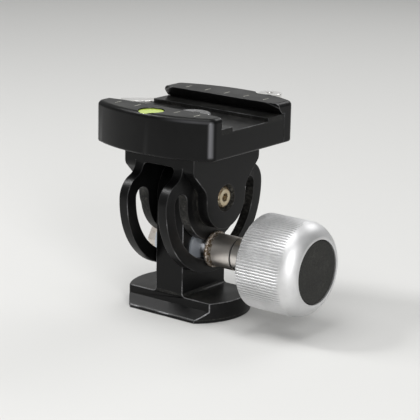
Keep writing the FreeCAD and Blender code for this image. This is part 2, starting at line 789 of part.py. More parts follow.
def make_mount_screw():
    body = new_body("clamp_mount_screw")
    head_top = "(%s - mount_head_top)" % CLAMP_TOP
    rod(body, "mount_head_radius", "mount_head_height", "0", "0", "%s - mount_head_height" % head_top)
    top = number(head_top)
    soften(body, "Chamfer", "edge_break",
           lambda edge: near(edge.BoundBox.ZMin, top) and near(edge.BoundBox.ZMax, top))
    rod(body, "mount_screw_radius", "mount_shank", "0", "0",
        "%s - mount_head_height - mount_shank" % head_top)
    socket = new_sketch(body, "XY_Plane", [hexagon("0", "0", "mount_socket")], (), head_top)
    pocket(body, socket, "2 * mount_socket_depth", symmetric=True)


def make_dowels():
    pins = []
    for index, way in enumerate(("", "-"), start=1):
        pin = doc.addObject("Part::Cylinder", "dowel_%d" % index)
        pin.setExpression("Radius", full("dowel_radius"))
        pin.setExpression("Height", full("dowel_length"))
        pin.setExpression("Placement.Base.y", full(way + "dowel_spread"))
        pin.setExpression("Placement.Base.z", full("%s - dowel_length / 2" % CLAMP_BOTTOM))
        pins.append(pin)
    join("clamp_dowel_pins", pins)


def join(label, pieces):
    """Several separate solids that are kept as one sub-part."""
    group = doc.addObject("Part::Compound", label)
    group.Links = pieces
    group.Label = label
    doc.recompute()


# Bubble level

def make_level():
    top = "(%s - level_sink)" % CLAMP_TOP
    bottom = "(%s - level_depth)" % CLAMP_TOP
    inner = "(level_radius - level_wall)"
    cup = new_body("level_cup")
    rod(cup, "level_radius", "level_depth - level_sink - window_thick", "0", "-level_place", bottom)
    rod(cup, inner, "level_depth", "0", "-level_place", bottom + " + level_floor", cut=True)
    fluid = new_body("level_fluid")
    rod(fluid, inner + " - press_gap",
        "level_depth - level_sink - window_thick - level_floor - press_gap",
        "0", "-level_place", bottom + " + level_floor")
    window = new_body("level_window")
    rod(window, "level_radius", "window_thick", "0", "-level_place", top + " - window_thick")
    high = number(top)
    soften(window, "Chamfer", "window_thick / 3", lambda edge: near(edge.BoundBox.ZMin, high))


# Movable jaw and what drives it

def make_movable_jaw():
    body = new_body("movable_jaw")
    corner_y = "(far_depth - %s)" % end_rise("far_arc")
    outline = [
        ("-clamp_half_length", JAW_FACE), ("clamp_half_length", JAW_FACE),
        ("clamp_half_length", corner_y, "far_arc", 1), ("0", "far_depth", "far_arc", 1),
        ("-clamp_half_length", corner_y),
    ]
    pad(body, new_sketch(body, "XY_Plane", [outline], (), CLAMP_BOTTOM), "clamp_height")
    face = number(JAW_FACE)
    soften(body, "Fillet", "far_corner_round",
           lambda edge: is_upright(edge) and not near(edge.BoundBox.YMin, face)
           and not near(edge.BoundBox.XMin, 0))
    lip = [
        ("root_depth", "%s - lip_drop" % CLAMP_TOP), (JAW_FACE, "%s - lip_drop" % CLAMP_TOP),
        (JAW_FACE, CLAMP_TOP), ("far_lip_depth", CLAMP_TOP),
    ]
    pad(body, new_sketch(body, "YZ_Plane", [lip]), "2 * clamp_half_length", True)
    round_outline(body, "far_lip_depth", JAW_FACE)
    for way in ("", "-"):
        flare = [
            (way + "far_flare_start", "far_lip_depth - lip_drop / 2"),
            (way + "far_flare_start", "far_lip_depth"),
            (way + "clamp_half_length", "far_flare_depth"),
            (way + "(clamp_half_length + corner_round)", "far_flare_depth"),
            (way + "(clamp_half_length + corner_round)", "far_lip_depth - lip_drop / 2"),
        ]
        pocket(body, new_sketch(body, "XY_Plane", [flare], (), "%s - lip_drop" % CLAMP_TOP),
               "2 * lip_drop")
    cut_lever_slot(body)
    for way in ("", "-"):
        rod(body, "guide_radius + press_gap", "guide_in_jaw + press_gap", way + "guide_spread",
            JAW_FACE, ROD_HEIGHT, ALONG_Y, cut=True)
    rod(body, "rod_radius + clear_gap", "far_depth", "hub_x", JAW_FACE, ROD_HEIGHT, ALONG_Y, cut=True)


def cut_lever_slot(body):
    side = "(cam_radius + cam_offset + clear_gap)"
    left = "(hub_x - %s)" % side
    right = "(hub_x + %s)" % side
    thin_y = "(sqrt(%s ^ 2 - arm_straight ^ 2) + %s)" % (ARM_SLOT, FAR_CENTRE)
    left_y = "(sqrt(%s ^ 2 - %s ^ 2) + %s)" % (ARM_SLOT, left, FAR_CENTRE)
    wide = "(clamp_half_length + corner_round)"
    tab_wall = "(%s + tab_gap - clear_gap)" % JAW_FACE
    outline = [
        ("-" + wide, tab_wall), ("-(clamp_half_length + tab_gap)", tab_wall),
        ("-arm_straight", thin_y, ARM_SLOT, -1),
        (left, left_y), (left, CAM_WALL), (right, CAM_WALL), (right, "2 * far_depth"),
        ("-" + wide, "2 * far_depth"),
    ]
    pocket(body, new_sketch(body, "XY_Plane", [outline], (), "%s - clear_gap" % LEVER_LOW),
           "lever_thick + 2 * clear_gap")
    hole = "(hub_radius + clear_gap)"
    notch = [
        ("hub_x - " + hole, "hub_y - jaw_travel", hole, 1),
        ("hub_x", "hub_y - jaw_travel - " + hole, hole, 1),
        ("hub_x + " + hole, "hub_y - jaw_travel"), ("hub_x + " + hole, "2 * far_depth"),
        ("hub_x - " + hole, "2 * far_depth"),
    ]
    pocket(body, new_sketch(body, "XY_Plane", [notch], (), LEVER_HIGH), "clamp_height")


def make_guide_rods():
    pins = []
    for index, way in enumerate(("", "-"), start=1):
        pin = doc.addObject("Part::Cylinder", "guide_rod_%d" % index)
        pin.Placement = FreeCAD.Placement(Vector(), ALONG_Y)
        pin.setExpression("Radius", full("guide_radius"))
        pin.setExpression("Height", full("%s + guide_in_jaw - guide_start" % JAW_FACE))
        pin.setExpression("Placement.Base.x", full(way + "guide_spread"))
        pin.setExpression("Placement.Base.y", full("guide_start"))
        pin.setExpression("Placement.Base.z", full(ROD_HEIGHT))
        pins.append(pin)
    join("jaw_guide_rods", pins)


def make_pull_rod():
    body = new_body("cam_pull_rod")
    flat_start = "(%s - clear_gap)" % CAM_WALL
    rod(body, "rod_radius", "%s - rod_start" % flat_start, "hub_x", "rod_start", ROD_HEIGHT, ALONG_Y)
    flat = rectangle("hub_x - eye_half_width", flat_start + " - rod_radius",
                     "hub_x + eye_half_width", "hub_y")
    low = "%s - eye_thick / 2" % ROD_HEIGHT
    pad(body, new_sketch(body, "XY_Plane", [flat], (), low), "eye_thick")
    rod(body, "eye_radius", "eye_thick", "hub_x", "hub_y", low)
    rod(body, "pin_radius + press_gap", "2 * eye_thick", "hub_x", "hub_y",
        low + " - eye_thick / 2", cut=True)


def make_lever_pin():
    body = new_body("lever_pin")
    rod(body, "pin_radius", "clamp_height - hub_drop - lever_bottom - edge_break", "hub_x", "hub_y",
        LEVER_LOW)


def make_lever():
    body = new_body("clamp_lever")
    far_wall = "(seam_depth + seam_gap + tab_gap)"
    out_end = "(clamp_half_length - arm_end_inset)"
    out_end_y = "(sqrt(%s ^ 2 - %s ^ 2) + %s)" % (ARM_OUT, out_end, FAR_CENTRE)
    in_start_y = "(sqrt(%s ^ 2 - arm_straight ^ 2) + %s)" % (ARM_IN, FAR_CENTRE)
    root = "(hub_x - cam_radius / 2)"
    root_out_y = "(sqrt(%s ^ 2 - %s ^ 2) + %s)" % (ARM_OUT, root, FAR_CENTRE)
    root_in_y = "(sqrt(%s ^ 2 - %s ^ 2) + %s)" % (ARM_IN, root, FAR_CENTRE)
    wall = "(clamp_half_length + tab_gap)"
    tip_x = "(clamp_half_length + tab_reach)"
    tip_y = "(%s - tab_drop)" % out_end_y
    outline = [
        (root, root_out_y, ARM_OUT, 1),
        ("-" + out_end, out_end_y),
        ("-%s - tab_heel" % wall, "%s - 2 * tab_heel" % out_end_y),
        ("-%s - tab_width / 2" % tip_x, tip_y),
        ("-%s + tab_width / 2" % tip_x, tip_y + " - tab_slant"),
        ("-" + wall, far_wall + " - tab_width"),
        ("-" + wall, far_wall),
        ("-arm_straight", in_start_y, ARM_IN, -1),
        (root, root_in_y),
    ]
    pad(body, new_sketch(body, "XY_Plane", [outline], (), LEVER_LOW), "lever_thick")
    tip = -number(tip_x)
    soften(body, "Fillet", "tab_round",
           lambda edge: is_upright(edge) and edge.BoundBox.XMin < tip + number("tab_width"))
    rod(body, "cam_radius", "lever_thick", "hub_x", "hub_y - cam_offset", LEVER_LOW)
    rod(body, "hub_radius", "clamp_height - hub_drop - lever_bottom", "hub_x", "hub_y", LEVER_LOW)
    top = number("%s - hub_drop" % CLAMP_TOP)
    soften(body, "Fillet", "edge_break",
           lambda edge: near(edge.BoundBox.ZMin, top) and near(edge.BoundBox.ZMax, top))
    reach = "(2 * cam_radius)"
    low = "%s - eye_thick / 2 - run_gap" % ROD_HEIGHT
    side = "(eye_half_width + clear_gap)"
    fork = rectangle("hub_x - " + side, "hub_y - " + reach, "hub_x + " + reach, "hub_y + " + side)
    pocket(body, new_sketch(body, "XY_Plane", [fork], (), low), "eye_thick + 2 * run_gap")
    rod(body, "eye_radius + clear_gap", "eye_thick + 2 * run_gap", "hub_x", "hub_y", low, cut=True)
    rod(body, "pin_radius + fit_gap", "clamp_height", "hub_x", "hub_y", LEVER_LOW, cut=True)


def make_springs():
    coils = []
    for index, way in enumerate(("", "-"), start=1):
        spine = doc.addObject("Part::Helix", "spring_path_%d" % index)
        spine.setExpression("Pitch", full("(spring_pocket - 2 * spring_wire) / spring_turns"))
        spine.setExpression("Height", full("spring_pocket - 2 * spring_wire"))
        spine.setExpression("Radius", full("spring_radius"))
        wire = doc.addObject("Part::Circle", "spring_wire_%d" % index)
        wire.Placement = FreeCAD.Placement(Vector(), BACK_Y)
        wire.setExpression("Radius", full("spring_wire"))
        wire.setExpression("Placement.Base.x", full("spring_radius"))
        coil = doc.addObject("Part::Sweep", "spring_%d" % index)
        coil.Sections = [wire]
        coil.Spine = (spine, [])
        coil.Solid = True
        coil.Frenet = True
        coil.Placement = FreeCAD.Placement(Vector(), ALONG_Y)
        coil.setExpression("Placement.Base.x", full(way + "spring_spread"))
        coil.setExpression("Placement.Base.y", full("seam_depth - spring_pocket + spring_wire"))
        coil.setExpression("Placement.Base.z", full(ROD_HEIGHT))
        coils.append(coil)
    join("jaw_return_springs", coils)


def make_all():
    make_base_stem()
    make_bushing("pivot_bushing_right", 1)
    make_bushing("pivot_bushing_left", -1)
    make_friction_washers()
    make_lock_shaft()
    make_lock_nut()
    make_stop_screw()
    make_sleeve()
    make_knob_insert()
    make_knob_shell()
    make_knob_cap()
    make_yoke()
    make_axle()
    make_pivot_screw("pivot_screw_right", 1)
    make_pivot_screw("pivot_screw_left", -1)
    make_clamp_body()
    make_mount_screw()
    make_dowels()
    make_level()
    make_movable_jaw()
    make_guide_rods()
    make_pull_rod()
    make_lever_pin()
    make_lever()
    make_springs()


def sub_parts():
    kinds = ("PartDesign::Body", "Part::Compound")
    return [thing for thing in doc.Objects if thing.TypeId in kinds]


def check_document():
    for thing in doc.Objects:
        for word in ("Invalid", "Error"):
            if word in thing.State:
                raise ValueError("%s is %s" % (thing.Label, word))
    for thing in sub_parts():
        if thing.Shape.isNull() or not thing.Shape.isValid():
            raise ValueError("bad shape: " + thing.Label)


def write_parts():
    os.makedirs("parts", exist_ok=True)
    for thing in sub_parts():
        thing.Shape.exportStep("parts/%s.step" % thing.Label)
        print(thing.Label, round(thing.Shape.Volume, 2))


fill_sheet()
make_all()
check_document()
write_parts()
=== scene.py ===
import json
import math

import bmesh
import bpy
from mathutils import Matrix, Vector

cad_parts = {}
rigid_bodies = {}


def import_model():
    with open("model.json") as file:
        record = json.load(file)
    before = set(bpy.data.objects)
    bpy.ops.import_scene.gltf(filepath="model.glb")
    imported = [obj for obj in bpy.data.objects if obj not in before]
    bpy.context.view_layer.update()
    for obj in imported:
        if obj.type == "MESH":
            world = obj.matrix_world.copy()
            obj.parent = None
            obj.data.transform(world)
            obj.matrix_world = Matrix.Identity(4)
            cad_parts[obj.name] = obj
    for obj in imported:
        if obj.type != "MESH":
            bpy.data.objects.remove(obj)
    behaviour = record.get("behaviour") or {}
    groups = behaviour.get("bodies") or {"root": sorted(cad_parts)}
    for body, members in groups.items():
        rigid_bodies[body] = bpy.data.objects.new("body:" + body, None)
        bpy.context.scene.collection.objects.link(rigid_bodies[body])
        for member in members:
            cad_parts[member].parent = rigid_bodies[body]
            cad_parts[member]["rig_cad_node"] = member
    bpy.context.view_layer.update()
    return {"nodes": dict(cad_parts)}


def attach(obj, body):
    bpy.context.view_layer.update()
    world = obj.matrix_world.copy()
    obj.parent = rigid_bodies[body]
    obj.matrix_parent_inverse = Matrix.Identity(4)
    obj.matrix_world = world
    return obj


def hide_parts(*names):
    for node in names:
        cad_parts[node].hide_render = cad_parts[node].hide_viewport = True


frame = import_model()
scene = bpy.context.scene
mm = 0.001
print("frame loaded")


# helpers for selecting, shaping and finishing a piece
edgeSettings = {"mergeWithin": 0.002, "outwardFrom": 35, "segments": 2, "smoothBelow": 32, "flatWeight": 80}


def dropSelection():
    if bpy.context.object and bpy.context.object.mode != "OBJECT":
        bpy.ops.object.mode_set(mode="OBJECT")
    bpy.ops.object.select_all(action="DESELECT")


def pickOnly(piece):
    dropSelection()
    piece.select_set(True)
    bpy.context.view_layer.objects.active = piece


def openMesh(piece):  # edit mode, with the whole piece selected
    pickOnly(piece)
    bpy.ops.object.mode_set(mode="EDIT")
    bpy.ops.mesh.select_mode(type="FACE")
    bpy.ops.mesh.select_all(action="SELECT")


def openOutwardEdges(piece):  # edit mode, with only the edges that stick out selected
    pickOnly(piece)
    bpy.ops.object.mode_set(mode="EDIT")
    bpy.ops.mesh.select_mode(type="EDGE")
    bpy.ops.mesh.select_all(action="DESELECT")
    mesh = bmesh.from_edit_mesh(piece.data)
    least = math.radians(edgeSettings["outwardFrom"])
    for edge in mesh.edges:
        if edge.is_manifold and edge.calc_face_angle_signed() > least:
            edge.select_set(True)
    mesh.select_flush_mode()
    bmesh.update_edit_mesh(piece.data)


def closeMesh():
    bpy.ops.object.mode_set(mode="OBJECT")


def settle(piece):  # its place and turn go into the mesh
    pickOnly(piece)
    bpy.ops.object.transform_apply(location=True, rotation=True, scale=True)


def applyAll(piece):
    pickOnly(piece)
    for modifier in list(piece.modifiers):
        bpy.ops.object.modifier_apply(modifier=modifier.name)


def softenEdges(piece, width, material=-1):  # inside corners stay sharp; material -1 keeps the faces' own
    openOutwardEdges(piece)
    bpy.ops.transform.edge_bevelweight(value=1)
    closeMesh()
    edges = piece.modifiers.new("edges", "BEVEL")
    edges.width = width
    edges.segments = edgeSettings["segments"]
    edges.limit_method = "WEIGHT"
    edges.use_clamp_overlap = False
    edges.miter_outer = "MITER_ARC"
    edges.material = material
    applyAll(piece)


def evenShading(piece, angle=edgeSettings["smoothBelow"]):
    pickOnly(piece)
    bpy.ops.object.shade_smooth_by_angle(angle=math.radians(angle))
    normals = piece.modifiers.new("normals", "WEIGHTED_NORMAL")
    normals.keep_sharp = True
    normals.weight = edgeSettings["flatWeight"]
    flats = piece.modifiers.new("flats", "TRIANGULATE")
    flats.min_vertices = 5  # three- and four-sided faces stay
    flats.ngon_method = "BEAUTY"
    flats.keep_custom_normals = True
    applyAll(piece)


def finishPiece(piece, body, slot, *materials):  # materials: those that it doesn't have yet
    for material in materials:
        piece.data.materials.append(material)
    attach(piece, body)


# node helpers for the materials

def join(tree, value, socket):
    if isinstance(value, (int, float)):
        socket.default_value = value
    elif isinstance(value, tuple):
        socket.default_value = value + (1,)
    else:
        tree.links.new(value, socket)


def noise(tree, place, scale, detail=3, rough=0.55):
    node = tree.nodes.new("ShaderNodeTexNoise")
    node.inputs["Scale"].default_value = scale
    node.inputs["Detail"].default_value = detail
    node.inputs["Roughness"].default_value = rough
    tree.links.new(place, node.inputs["Vector"])
    return node.outputs["Fac"]


def ramp(tree, value, low, high, toLow=0.0, toHigh=1.0):
    node = tree.nodes.new("ShaderNodeMapRange")
    node.interpolation_type = "SMOOTHSTEP"
    for name, number in (("From Min", low), ("From Max", high), ("To Min", toLow), ("To Max", toHigh)):
        node.inputs[name].default_value = number
    tree.links.new(value, node.inputs["Value"])
    return node.outputs["Result"]


def calc(tree, kind, first, second=0.0):
    node = tree.nodes.new("ShaderNodeMath")
    node.operation = kind
    join(tree, first, node.inputs[0])
    join(tree, second, node.inputs[1])
    return node.outputs[0]


def blendColour(tree, share, first, second):
    node = tree.nodes.new("ShaderNodeMix")
    node.data_type = "RGBA"
    for value, index in ((share, 0), (first, 6), (second, 7)):
        join(tree, value, node.inputs[index])
    return node.outputs[2]


def stretched(tree, place, scale):
    node = tree.nodes.new("ShaderNodeMapping")
    node.inputs["Scale"].default_value = scale
    tree.links.new(place, node.inputs["Vector"])
    return node.outputs["Vector"]


def coordinates(tree, place):
    node = tree.nodes.new("ShaderNodeSeparateXYZ")
    tree.links.new(place, node.inputs[0])
    return node.outputs


def distanceFrom(tree, place, axis, centre):  # from a line along that axis through the centre
    node = tree.nodes.new("ShaderNodeVectorMath")
    node.operation = "MULTIPLY_ADD"
    keep = [0.0 if letter == axis else 1.0 for letter in "xyz"]
    node.inputs[1].default_value = keep
    node.inputs[2].default_value = [-mid * share for mid, share in zip(centre, keep)]
    tree.links.new(place, node.inputs[0])
    length = tree.nodes.new("ShaderNodeVectorMath")
    length.operation = "LENGTH"
    tree.links.new(node.outputs[0], length.inputs[0])
    return length.outputs["Value"]


def within(tree, value, low, high, soft):  # 1 from low to high, with soft ends
    up = ramp(tree, value, low - soft, low + soft)
    down = ramp(tree, value, high - soft, high + soft, 1.0, 0.0)
    return calc(tree, "MULTIPLY", up, down)


# a zone is in mm: from and to on x, y and z, the same on both sides in x and y unless it is oneSided,
# and "round" as axis, centre, from and to in distance; "soft" is how far its ends fade
def zoneShare(tree, place, zone):
    share = 1.0
    soft = zone.get("soft", 0.2) * mm
    for letter, value in zip("xyz", coordinates(tree, place)):
        if letter not in zone:
            continue
        if letter != "z" and not zone.get("oneSided"):
            value = calc(tree, "ABSOLUTE", value)
        low, high, *fade = zone[letter]  # a third number is this axis's own soft end
        edge = fade[0] * mm if fade else soft
        share = calc(tree, "MULTIPLY", share, within(tree, value, low * mm, high * mm, edge))
    if "round" in zone:
        axis, centre, low, high = zone["round"]
        far = distanceFrom(tree, place, axis, [part * mm for part in centre])
        share = calc(tree, "MULTIPLY", share, within(tree, far, low * mm, high * mm, soft))
    return calc(tree, "MULTIPLY", share, zone["share"])


def strongestZone(tree, place, zones):
    share = 0.0
    for zone in zones:
        share = calc(tree, "MAXIMUM", share, zoneShare(tree, place, zone))
    return share


def bumps(tree, shader, heights):  # heights: (value, strength, depth in metres)
    normal = None
    for value, strength, depth in heights:
        node = tree.nodes.new("ShaderNodeBump")
        node.inputs["Strength"].default_value = strength
        node.inputs["Distance"].default_value = depth
        tree.links.new(value, node.inputs["Height"])
        if normal is not None:
            tree.links.new(normal, node.inputs["Normal"])
        normal = node.outputs["Normal"]
    tree.links.new(normal, shader.inputs["Normal"])


def newMaterial(name):
    material = bpy.data.materials.new(name)
    material.use_nodes = True
    tree = material.node_tree
    shader = tree.nodes["Principled BSDF"]
    place = tree.nodes.new("ShaderNodeTexCoord").outputs["Object"]
    return material, tree, shader, place


# black anodised aluminium: fine blasted grain, handling marks, tan dust in the given zones (on the top faces
# partly a painted reflection), and painted highlights, a grey metallic sheen, in the highlight zones
blackSettings = {
    "dark": (0.0022, 0.0022, 0.0023), "light": (0.0048, 0.0048, 0.0050), "patchScale": 45,
    "colourRange": (0.3, 0.7), "roughRange": (0.25, 0.75), "roughLow": 0.30, "roughHigh": 0.42,
    "specular": 0.18, "grainScale": 5200, "grainStrength": 0.35, "grainDepth": 0.000012,
    "dustAndTopReflection": (0.19, 0.185, 0.165), "dustRough": 0.4, "speckScale": 900, "speckRange": (0.42, 0.68),
    "speckLeast": 0.25, "patchyScale": 160, "patchyRange": (0.38, 0.66), "patchyLeast": 0.3,
    # the colour of the painted highlights on corners and rounds
    "paintedHighlightColour": (0.16, 0.16, 0.17),
}


def blackAnodised(name, zones, settings=blackSettings, paintedHighlightZones=()):
    material, tree, shader, place = newMaterial(name)
    patches = noise(tree, place, settings["patchScale"], detail=4)
    grain = noise(tree, place, settings["grainScale"], detail=2)
    patchShare = ramp(tree, patches, *settings["colourRange"])
    colour = blendColour(tree, patchShare, settings["dark"], settings["light"])
    rough = ramp(tree, patches, *settings["roughRange"], settings["roughLow"], settings["roughHigh"])
    specks = noise(tree, place, settings["speckScale"], rough=0.7)
    specks = ramp(tree, specks, *settings["speckRange"], settings["speckLeast"])
    patchy = noise(tree, place, settings["patchyScale"], detail=4, rough=0.6)
    patchy = ramp(tree, patchy, *settings["patchyRange"], settings["patchyLeast"])
    # dust in the given zones; on the top faces it is also a painted reflection that lightens the tops
    dustAndTopReflectionShare = strongestZone(tree, place, zones)
    dustAndTopReflectionShare = calc(tree, "MULTIPLY", dustAndTopReflectionShare, calc(tree, "MULTIPLY", specks, patchy))
    colour = blendColour(tree, dustAndTopReflectionShare, colour, settings["dustAndTopReflection"])
    rough = calc(tree, "ADD", rough, calc(tree, "MULTIPLY", dustAndTopReflectionShare, settings["dustRough"]))
    if paintedHighlightZones:  # painted highlights: a grey metallic sheen painted on chosen corners and rounds
        paintedHighlightShare = strongestZone(tree, place, paintedHighlightZones)
        colour = blendColour(tree, paintedHighlightShare, colour, settings["paintedHighlightColour"])
        join(tree, paintedHighlightShare, shader.inputs["Metallic"])
    join(tree, colour, shader.inputs["Base Color"])
    join(tree, rough, shader.inputs["Roughness"])
    shader.inputs["Specular IOR Level"].default_value = settings["specular"]
    bumps(tree, shader, [(grain, settings["grainStrength"], settings["grainDepth"])])
    return material


# the broken edges of the black pieces: the anodising is worn through to the metal in runs, and the same runs
# are painted highlights where lamps would glint on the edges
edgeWearAndHighlightSettings = {
    "black": (0.010, 0.010, 0.0105), "bareAndHighlight": (0.30, 0.30, 0.31), "rough": 0.36, "metallic": 0.6,
    "runScale": 90, "chipScale": 1300, "chipRange": (0.3, 0.62), "chipLeast": 0.3,
    "chipStrength": 0.2, "chipDepth": 0.00001,
}


def edgeWearAndHighlight(name, share, runFrom, runTo):
    material, tree, shader, place = newMaterial(name)
    runs = noise(tree, place, edgeWearAndHighlightSettings["runScale"], detail=4, rough=0.6)
    runs = ramp(tree, runs, runFrom, runTo, 0.0, share)
    chips = noise(tree, place, edgeWearAndHighlightSettings["chipScale"], rough=0.6)
    chips = ramp(tree, chips, *edgeWearAndHighlightSettings["chipRange"], edgeWearAndHighlightSettings["chipLeast"])
    # share of worn metal and painted edge highlight
    wornAndHighlit = calc(tree, "MULTIPLY", runs, chips)
    colour = blendColour(tree, wornAndHighlit, edgeWearAndHighlightSettings["black"], edgeWearAndHighlightSettings["bareAndHighlight"])
    join(tree, colour, shader.inputs["Base Color"])
    join(tree, calc(tree, "MULTIPLY", wornAndHighlit, edgeWearAndHighlightSettings["metallic"]), shader.inputs["Metallic"])
    shader.inputs["Roughness"].default_value = edgeWearAndHighlightSettings["rough"]
    bumps(tree, shader, [(chips, edgeWearAndHighlightSettings["chipStrength"], edgeWearAndHighlightSettings["chipDepth"])])
    return material


# bare and clear anodised metals: grain or turning lines, patches and smudges
metalSettings = {
    "patchScale": 70, "colourRange": (0.3, 0.7), "roughRange": (0.25, 0.75), "metallic": 1.0,
    "stains": (), "stainRough": 0.35, "grainStrength": 0.4, "lineStrength": 0.5, "ringStrength": 0.4,
}


def bareMetal(name, ownSettings):
    settings = {**metalSettings, **ownSettings}
    material, tree, shader, place = newMaterial(name)
    patches = noise(tree, place, settings["patchScale"], detail=4, rough=0.6)
    patchShare = ramp(tree, patches, *settings["colourRange"])
    colour = blendColour(tree, patchShare, settings["dark"], settings["light"])
    rough = ramp(tree, patches, *settings["roughRange"], settings["roughLow"], settings["roughHigh"])
    for zone in settings["stains"]:
        specks = noise(tree, place, zone["scale"], detail=4, rough=0.7)
        specks = ramp(tree, specks, zone["from"], zone["to"])
        share = calc(tree, "MULTIPLY", zoneShare(tree, place, zone), specks)
        colour = blendColour(tree, share, colour, zone["colour"])
        rough = calc(tree, "ADD", rough, calc(tree, "MULTIPLY", share, settings["stainRough"]))
    join(tree, colour, shader.inputs["Base Color"])
    join(tree, rough, shader.inputs["Roughness"])
    shader.inputs["Metallic"].default_value = settings["metallic"]
    heights = []
    if "grainScale" in settings:
        grain = noise(tree, place, settings["grainScale"], detail=2)
        heights.append((grain, settings["grainStrength"], settings["grainDepth"]))
    if "lines" in settings:  # a scale for each axis: high across the lines, low along them
        drawn = noise(tree, stretched(tree, place, settings["lines"]), 1.0, rough=0.65)
        heights.append((drawn, settings["lineStrength"], settings["lineDepth"]))
    if "rings" in settings:  # turned rings round an axis
        axis, centre, scale = settings["rings"]
        far = distanceFrom(tree, place, axis, [part * mm for part in centre])
        wave = calc(tree, "SINE", calc(tree, "MULTIPLY", far, scale))
        heights.append((wave, settings["ringStrength"], settings["lineDepth"]))
    bumps(tree, shader, heights)
    return material


lockAxis = (0, 0, 26.7)  # mm, a point on it; both axes run along x
pivotAxis = (0, 0, 49.2)

clampBlack = blackAnodised("clampBlack", [
    # the top faces: tan dust specks that also serve as a painted reflection lightening the tops
    {"z": (86.85, 88), "share": 0.16},
    {"z": (80.0, 82.6), "y": (0, 20.4), "share": 0.10},
    {"z": (82.0, 87), "y": (15.0, 20.6), "share": 0.03},
# painted highlights: a streak down each corner round of the jaws and a band along the near jaw's front top
# round, where lamps would glint
], paintedHighlightZones=[
    {"x": (27.8, 29.4), "y": (24.9, 26.7), "z": (71.6, 85.4), "soft": 0.5, "share": 0.75},
    {"x": (15.0, 31.0, 9.0), "y": (-34.0, -25.0), "z": (85.1, 85.9), "soft": 0.4, "share": 0.4,
     "oneSided": True},
])
jawBlack = blackAnodised("jawBlack", [
    # the top faces: tan dust specks that also serve as a painted reflection lightening the tops
    {"z": (86.85, 88), "share": 0.16},
    {"z": (82.0, 86.8), "y": (15.0, 22.3), "share": 0.04},
])
yokeBlack = blackAnodised("yokeBlack", [
    {"x": (7.9, 12.05), "z": (15, 55), "round": ("x", pivotAxis, 18.2, 27.0), "share": 0.35, "soft": 0.1},
    {"x": (14.0, 17.6), "round": ("x", pivotAxis, 4.6, 5.9), "share": 0.9, "soft": 0.1},
    {"x": (12.15, 13.0), "round": ("x", pivotAxis, 12.5, 15.5), "share": 0.4},
])
baseBlack = blackAnodised("baseBlack", [
    {"z": (8.0, 9.6), "y": (0, 15), "share": 0.22},
    {"z": (1.2, 1.6), "share": 0.35, "soft": 0.15},
    {"x": (6.5, 7.6), "z": (8, 64), "round": ("x", pivotAxis, 13.0, 30.0), "share": 0.08},
])
# edge materials: worn metal together with painted edge highlights
baseEdgeWearAndHighlight = edgeWearAndHighlight("baseEdgeWearAndHighlight", 0.9, 0.40, 0.62)
yokeEdgeWearAndHighlight = edgeWearAndHighlight("yokeEdgeWearAndHighlight", 0.7, 0.46, 0.68)
clampEdgeWearAndHighlight = edgeWearAndHighlight("clampEdgeWearAndHighlight", 0.6, 0.44, 0.66)
capBlack = blackAnodised("capBlack", [{"x": (62.3, 63), "share": 0.10}], dict(
    blackSettings, dark=(0.012, 0.012, 0.011), light=(0.030, 0.030, 0.028), patchScale=1400, roughLow=0.5,
    roughHigh=0.65, grainScale=2200, grainDepth=0.00006))

blastedSilver = bareMetal("blastedSilver", {
    "dark": (0.64, 0.64, 0.645), "light": (0.76, 0.76, 0.765), "roughLow": 0.44, "roughHigh": 0.54,
    "grainScale": 4200, "grainDepth": 0.00002, "metallic": 0.9,
    "stains": [{"x": (36.4, 40.0), "share": 0.25, "scale": 500, "from": 0.5, "to": 0.75,
                "colour": (0.20, 0.18, 0.14)}],
})
leverSilver = bareMetal("leverSilver", {
    "dark": (0.76, 0.75, 0.73), "light": (0.88, 0.87, 0.85), "roughLow": 0.26, "roughHigh": 0.40,
    "grainScale": 4200, "grainDepth": 0.00002, "metallic": 0.9,
})
turnedSteel = bareMetal("turnedSteel", {
    "dark": (0.40, 0.38, 0.36), "light": (0.55, 0.53, 0.51), "roughLow": 0.22, "roughHigh": 0.36,
    "lines": (9000, 300, 300), "lineDepth": 0.000008,
})
sleeveSteel = bareMetal("sleeveSteel", {
    "dark": (0.76, 0.71, 0.66), "light": (0.90, 0.85, 0.80), "roughLow": 0.34, "roughHigh": 0.46,
    "lines": (9000, 250, 250), "lineDepth": 0.000005,
    "stains": [{"x": (11.9, 15.4), "share": 1.0, "scale": 900, "from": 0.36, "to": 0.6,
                "colour": (0.16, 0.11, 0.06)}],
})
neckSteel = bareMetal("neckSteel", {
    "dark": (0.70, 0.66, 0.61), "light": (0.85, 0.81, 0.77), "roughLow": 0.26, "roughHigh": 0.40,
    "lines": (9000, 300, 300), "lineDepth": 0.000008,
})
flatSteel = bareMetal("flatSteel", {
    "dark": (0.62, 0.67, 0.75), "light": (0.74, 0.79, 0.86), "roughLow": 0.40, "roughHigh": 0.55,
    "rings": ("x", lockAxis, 28000), "lineDepth": 0.000006, "metallic": 0.75,
})
nutSteel = bareMetal("nutSteel", {
    "dark": (0.68, 0.63, 0.58), "light": (0.86, 0.82, 0.77), "roughLow": 0.3, "roughHigh": 0.44,
    "grainScale": 2600, "grainDepth": 0.00001, "metallic": 0.85,
    "stains": [{"x": (12.0, 19.0), "share": 0.8, "scale": 500, "from": 0.55, "to": 0.72,
                "colour": (0.20, 0.10, 0.04)}],
})
springSteel = bareMetal("springSteel", {
    "dark": (0.42, 0.42, 0.42), "light": (0.56, 0.56, 0.56), "roughLow": 0.2, "roughHigh": 0.3,
    "lines": (900, 5000, 900), "lineDepth": 0.000005,
})
